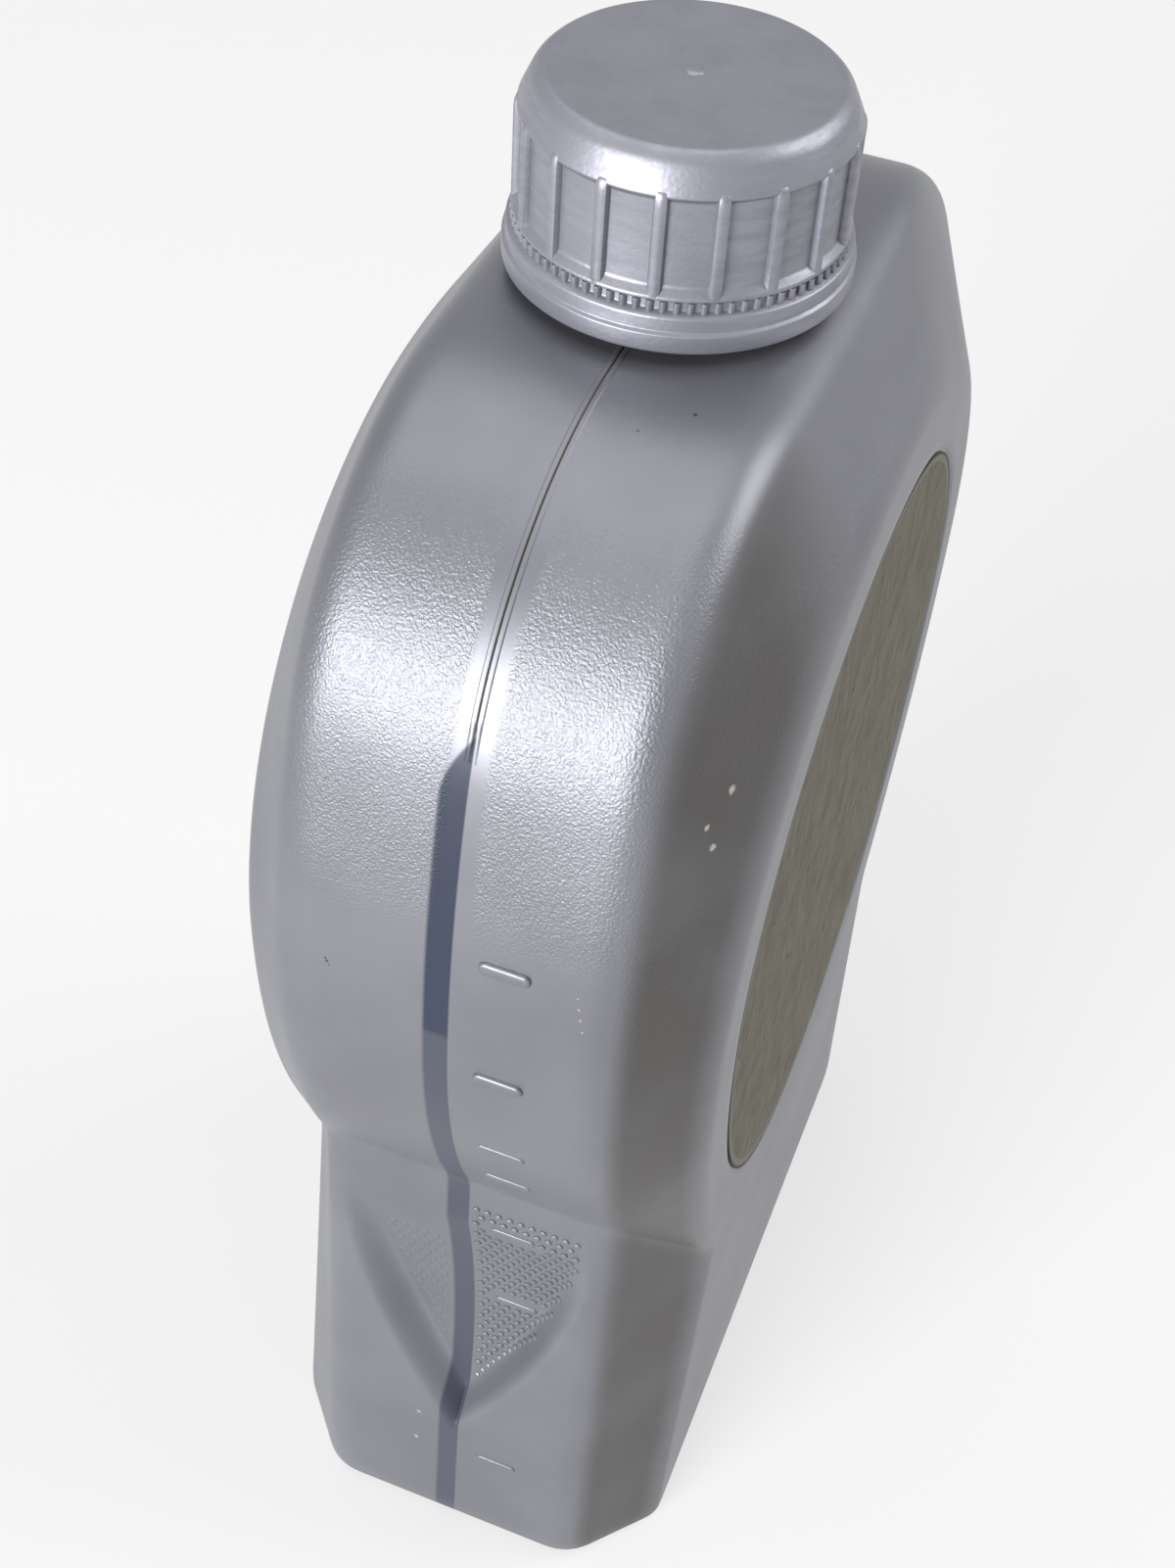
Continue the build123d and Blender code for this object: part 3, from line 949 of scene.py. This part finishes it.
cap = {
    "top": 220.8 * mm,
    "bottom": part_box("screw_cap")[0].z,
    "topRadius": 16.5 * mm,
    "discInset": 0.4 * mm,
    "rimDrop": 1.0 * mm,
    "rimSpread": 0.75 * mm,
    "collarDrop": 4.3 * mm,
    "collarRadius": 18.75 * mm,
    "collarLedge": 0.5 * mm,
    "panelRadius": 18.1 * mm,
    "wall": 1.1 * mm,
    "topThickness": 1.6 * mm,
    "ledge": 1.3 * mm,
    "lip": 0.4 * mm,
    "softness": (0, 0.4, 0.15, 0.15, 0.2, 0.3, 0.25, 0.35, 0.6, 0.6),    # in millimetres
    "steps": 180,
    "ribs": 18,
    "ribProud": 0.85 * mm,
    "ribWidth": 1.6 * mm,
    "ribOverlap": 0.7 * mm,                  # with the collar
    "ribLevels": (0.0, 0.3, 0.6, 0.8, 0.88, 0.93, 0.965, 0.985, 1.0),
    "ribRoundFrom": 0.88,
    "ribEnd": 0.15,
    "ribSides": 16,
    "pipRadius": 0.9 * mm,
    "pipHeight": 0.2 * mm,
    "pipSection": ((1.2, 0.0), (1.0, 0.7), (0.6, 1.0), (0.0, 1.0)),
}


def capForm():
    top, bottom, panel = cap["top"], cap["bottom"], cap["panelRadius"]
    inner, collar, under = panel - cap["wall"], top - cap["collarDrop"], top - cap["topThickness"]
    outer, brim = panel + cap["ribProud"], cap["topRadius"] + cap["rimSpread"]
    profile = [(0, under), (inner, under), (inner, bottom), (outer, bottom),
               (outer, bottom + cap["lip"]), (panel, bottom + cap["ledge"]),
               (panel, collar - cap["collarLedge"]), (cap["collarRadius"], collar),
               (brim, top - cap["rimDrop"]), (cap["topRadius"] - cap["discInset"], top)]
    shaped = rounded(profile, [s * mm for s in cap["softness"]], 5)
    pip = [(cap["pipRadius"] * wide, top + cap["pipHeight"] * rise)
           for wide, rise in cap["pipSection"]]
    return linkObject("screwCap", lathe("screwCap", shaped + pip, cap["steps"]))


def gripRib():
    # stands on the recessed panel and runs into the collar above it
    low = cap["bottom"] + 0.5 * cap["lip"]
    high = cap["top"] - cap["collarDrop"] + cap["ribOverlap"]
    start, end, sides = cap["ribRoundFrom"], cap["ribEnd"], cap["ribSides"]
    loops = []
    for share in cap["ribLevels"]:
        past = max(0.0, (share - start) / (1 - start))
        fade = math.sqrt(max(0.0, 1 - past ** 2)) * (1 - end) + end
        proud, half = cap["ribProud"] * fade, cap["ribWidth"] / 2 * (0.5 + 0.5 * fade)
        loop = []
        for k in range(sides):
            a = 2 * math.pi * k / sides
            square = (abs(math.cos(a)) ** 3 + abs(math.sin(a)) ** 3) ** (-1 / 3)
            loop.append((cap["panelRadius"] + proud * square * math.cos(a),
                         half * square * math.sin(a), low + (high - low) * share))
        loops.append(loop)
    return linkObject("gripRib", closedGrid("gripRib", np.array(loops)))


capSilver, capTree, capShader = newMaterial("silver cap plastic")
capLook = {
    "colour": (0.285, 0.285, 0.33),
    "shade": (0.245, 0.245, 0.285),
    "metallic": 0.6,
    "roughness": (0.39, 0.48),
    "flowScale": 160.0,
    "flowSqueeze": (1.0, 1.0, 5.0),
    "fineScale": 1800.0,
    "fineHeight": 0.03 * mm,
}


def paintCap(tree, shader):
    # pale flow lines that run round the cap
    spot = place(tree)[0]
    wide = vectorCalc(tree, "MULTIPLY", spot, capLook["flowSqueeze"])[0]
    flow = ramp(tree, noise(tree, wide, capLook["flowScale"], 4.0, 0.6), 0.35, 0.7)
    tone = blendColour(tree, flow, capLook["colour"], capLook["shade"])
    tree.links.new(tone, shader.inputs["Base Color"])
    tree.links.new(ramp(tree, flow, 0.0, 1.0, *capLook["roughness"]), shader.inputs["Roughness"])
    fine = noise(tree, spot, capLook["fineScale"], 2.0)
    bump = put(tree, "ShaderNodeBump", {"Height": fine, "Distance": capLook["fineHeight"],
                                        "Strength": 1.0})
    tree.links.new(bump.outputs[0], shader.inputs["Normal"])
    shader.inputs["Metallic"].default_value = capLook["metallic"]


paintCap(capTree, capShader)
rib = gripRib()
screwCap = growNodes(capForm(), crownOf, {
    "Shape": rib, "Count": cap["ribs"], "First Angle": math.pi / cap["ribs"],
    "Material": capSilver})
bpy.data.objects.remove(rib)
shadeSoft(screwCap)
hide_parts("screw_cap")
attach(screwCap, "cap")
print("screw cap:", cap["ribs"], "ribs")


# tamper-evident ring with its crown of breaking bridges

ring = {
    "bottom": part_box("tamper_band")[0].z,
    "step": 201.3 * mm,
    "slope": 0.3 * mm,
    "top": 203.0 * mm,
    "wide": 19.9 * mm,
    "radius": 19.5 * mm,
    "wall": 2.6 * mm,
    "web": 18.45 * mm,                       # thin wall behind the bridges
    "webWall": 0.7 * mm,
    "webFoot": 0.35 * mm,
    "webGap": 0.08 * mm,                     # under the cap
    "softness": (0.2, 0.35, 0.12, 0.1, 0.3, 0.2, 0.1, 0.1, 0.1, 0.15),   # in millimetres
    "steps": 180,
    "teeth": 80,
    "toothWidth": 0.9 * mm,
    "toothRadius": 19.05 * mm,
    "toothSunk": 0.1 * mm,
    "toothGap": 0.04 * mm,
    "toothRoot": 0.2 * mm,
    "toothSection": ((0.0, 0.55), (0.12, 0.85), (0.3, 1.0), (1.0, 1.0)),
    "toothSides": 9,
}


def ringForm():
    radius, wide, web = ring["radius"], ring["wide"], ring["web"]
    low, step, top, high = ring["bottom"], ring["step"], ring["top"], cap["bottom"] - ring["webGap"]
    inner, back = radius - ring["wall"], web - ring["webWall"]
    profile = [(inner, low), (wide, low), (wide, step - ring["slope"]), (radius, step),
               (radius, top), (web, top + ring["webFoot"]), (web, high), (back, high),
               (back, top), (inner, top)]
    shaped = rounded(profile, [s * mm for s in ring["softness"]], 3)
    return linkObject("tamperRing", lathe("tamperRing", shaped, ring["steps"]))


def bridgeTooth():
    # a nub with a round face, rounded off at its foot
    low, high = ring["top"] - ring["toothSunk"], cap["bottom"] - ring["toothGap"]
    inner, out = ring["web"] - ring["toothRoot"], ring["toothRadius"] - ring["web"]
    loops = []
    for share, fade in ring["toothSection"]:
        z, half, reach = low + (high - low) * share, ring["toothWidth"] / 2 * fade, out * fade
        loop = [(inner, half, z), (inner, -half, z)]
        for a in np.radians(np.linspace(-90, 90, ring["toothSides"])):
            loop.append((ring["web"] + reach * math.cos(a), half * math.sin(a), z))
        loops.append(loop)
    return linkObject("bridgeTooth", closedGrid("bridgeTooth", np.array(loops)))


tooth = bridgeTooth()
tamperRing = growNodes(ringForm(), crownOf, {
    "Shape": tooth, "Count": ring["teeth"], "First Angle": 0.0, "Material": capSilver})
bpy.data.objects.remove(tooth)
shadeSoft(tamperRing)
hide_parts("tamper_band")
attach(tamperRing, "bottle")
print("tamper ring:", ring["teeth"], "bridges")


# label and liner keep their solids

filmLook = {
    "colour": (0.150, 0.138, 0.104),
    "streak": (0.235, 0.222, 0.175),
    "streakScale": 1100.0,
    "streakSqueeze": (1.0, 1.0, 0.16),
    "streakHeight": 0.04 * mm,
    "soil": (0.060, 0.054, 0.041),
    "soilScale": 130.0,
    "soilAmount": 0.38,
    "speckScale": 420.0,
    "border": (0.250, 0.240, 0.205),
    "borderFrom": (0.970, 0.976),            # as shares of the way to the label's edge
    "edgeFrom": (0.990, 0.994),
    "half": 45.0 * mm,
    "tail": 68.0 * mm,
    "roughness": 0.7,
    "specular": 0.2,
}


def labelReach(tree, x, z):
    # nothing at the label's middle and one along its edge
    drop = calc(tree, "SUBTRACT", z, bottle["panelMidZ"])
    tall = ramp(tree, drop, -0.1 * mm, 0.1 * mm, filmLook["tail"], filmLook["half"])
    across = calc(tree, "DIVIDE", x, filmLook["half"])
    down = calc(tree, "POWER", calc(tree, "DIVIDE", drop, tall), 2.0)
    return calc(tree, "SQRT", calc(tree, "ADD", calc(tree, "MULTIPLY", across, across), down))


def paintFilm(tree, shader):
    # lengthwise streaks, soiled patches and a paler border with a dark edge
    spot, x, _, z = place(tree)
    reach = labelReach(tree, x, z)
    long = vectorCalc(tree, "MULTIPLY", spot, filmLook["streakSqueeze"])[0]
    streaks = ramp(tree, noise(tree, long, filmLook["streakScale"], 5.0, 0.75), 0.36, 0.66)
    tone = blendColour(tree, streaks, filmLook["colour"], filmLook["streak"])
    soil = ramp(tree, noise(tree, spot, filmLook["soilScale"], 6.0, 0.7), 0.45, 0.68)
    soil = calc(tree, "MULTIPLY", soil, filmLook["soilAmount"])
    tone = blendColour(tree, soil, tone, filmLook["soil"])
    specks = ramp(tree, noise(tree, spot, filmLook["speckScale"], 2.0), 0.70, 0.74)
    tone = blendColour(tree, specks, tone, filmLook["soil"])
    tone = blendColour(tree, ramp(tree, reach, *filmLook["borderFrom"]), tone, filmLook["border"])
    tone = blendColour(tree, ramp(tree, reach, *filmLook["edgeFrom"]), tone, filmLook["soil"])
    tree.links.new(tone, shader.inputs["Base Color"])
    bump = put(tree, "ShaderNodeBump", {"Height": streaks, "Distance": filmLook["streakHeight"],
                                        "Strength": 1.0})
    tree.links.new(bump.outputs[0], shader.inputs["Normal"])
    shader.inputs["Roughness"].default_value = filmLook["roughness"]
    shader.inputs["Specular IOR Level"].default_value = filmLook["specular"]


foamLook = {"colour": (0.8, 0.8, 0.78, 1), "roughness": 0.7}

film, filmTree, filmShader = newMaterial("worn label film")
paintFilm(filmTree, filmShader)
foam, _, foamShader = newMaterial("white liner foam")
foamShader.inputs["Base Color"].default_value = foamLook["colour"]
foamShader.inputs["Roughness"].default_value = foamLook["roughness"]
for name, material in (("front_label", film), ("cap_liner", foam)):
    mesh = frame["nodes"][name].data
    mesh.materials.clear()
    mesh.materials.append(material)
print("label and liner painted")


# floor, light and camera

studio = {
    "floorSize": 40.0,
    "floorColour": (0.28, 0.28, 0.28, 1),
    "floorRoughness": 0.9,
    "floorGlow": 0.62,                       # only where the floor is seen or mirrored
    "skyGlow": 0.5,
    "skyLight": 0.17,
    "lamps": {                               # place, aim, size in metres, power in watts
        "window": ((-1.2, 0.38, 0.42), (0, 0, 0.14), 0.72, 25),
        "ceiling": ((0.1, 0.3, 1.6), (0, 0, 0.1), 1.4, 9),
        "fill": ((1.3, -2.2, 1.9), (0, 0, 0.12), 2.0, 52),
    },
    "cameraPlace": (-0.20354, -0.06054, 0.33208),
    "cameraAim": (0.0, 0.00587, 0.10987),
    "cameraRoll": -4.34,                     # degrees
    "lens": 49.67,
    "sensor": 36.0,
}


def seenRays(tree):
    # one on rays that show the backdrop, straight or in a reflection
    rays = put(tree, "ShaderNodeLightPath").outputs
    mirrored = calc(tree, "MAXIMUM", rays["Is Glossy Ray"], rays["Is Transmission Ray"])
    return calc(tree, "MAXIMUM", rays["Is Camera Ray"], mirrored)


def areaLight(name, spot, aim, size, power):
    lamp = bpy.data.lights.new(name, "AREA")
    lamp.energy, lamp.size = power, size
    obj = bpy.data.objects.new(name, lamp)
    obj.location = spot
    obj.visible_camera = False
    obj.rotation_euler = (Vector(aim) - Vector(spot)).to_track_quat("-Z", "Y").to_euler()
    scene.collection.objects.link(obj)


floorMesh = bpy.data.meshes.new("floor")
edge = studio["floorSize"] / 2
floorMesh.from_pydata([(-edge, -edge, 0), (edge, -edge, 0), (edge, edge, 0), (-edge, edge, 0)], [],
                      [(0, 1, 2, 3)])
floor = linkObject("floor", floorMesh)
pale, paleTree, paleShader = newMaterial("pale floor")
paleShader.inputs["Base Color"].default_value = studio["floorColour"]
paleShader.inputs["Roughness"].default_value = studio["floorRoughness"]
paleShader.inputs["Emission Color"].default_value = (1, 1, 1, 1)
paleTree.links.new(calc(paleTree, "MULTIPLY", seenRays(paleTree), studio["floorGlow"]),
                   paleShader.inputs["Emission Strength"])
floorMesh.materials.append(pale)

for name, settings in studio["lamps"].items():
    areaLight(name, *settings)
world = bpy.data.worlds.new("studio")
scene.world = world
world.use_nodes = True
skyTree = world.node_tree
sky = skyTree.nodes["Background"]
sky.inputs["Color"].default_value = (1, 1, 1, 1)
skyStrength = calc(skyTree, "MULTIPLY_ADD", seenRays(skyTree),
                   studio["skyGlow"], studio["skyLight"])
skyTree.links.new(skyStrength, sky.inputs["Strength"])

lens = bpy.data.cameras.new("photoCamera")
lens.lens = studio["lens"]
lens.sensor_width = studio["sensor"]
camera = bpy.data.objects.new("photoCamera", lens)
eye, target = Vector(studio["cameraPlace"]), Vector(studio["cameraAim"])
roll = Matrix.Rotation(math.radians(-studio["cameraRoll"]), 3, "Z")
look = (target - eye).to_track_quat("-Z", "Y").to_matrix() @ roll
camera.matrix_world = Matrix.Translation(eye) @ look.to_4x4()
scene.collection.objects.link(camera)
scene.camera = camera
scene.view_settings.view_transform = "Standard"
print("studio ready")
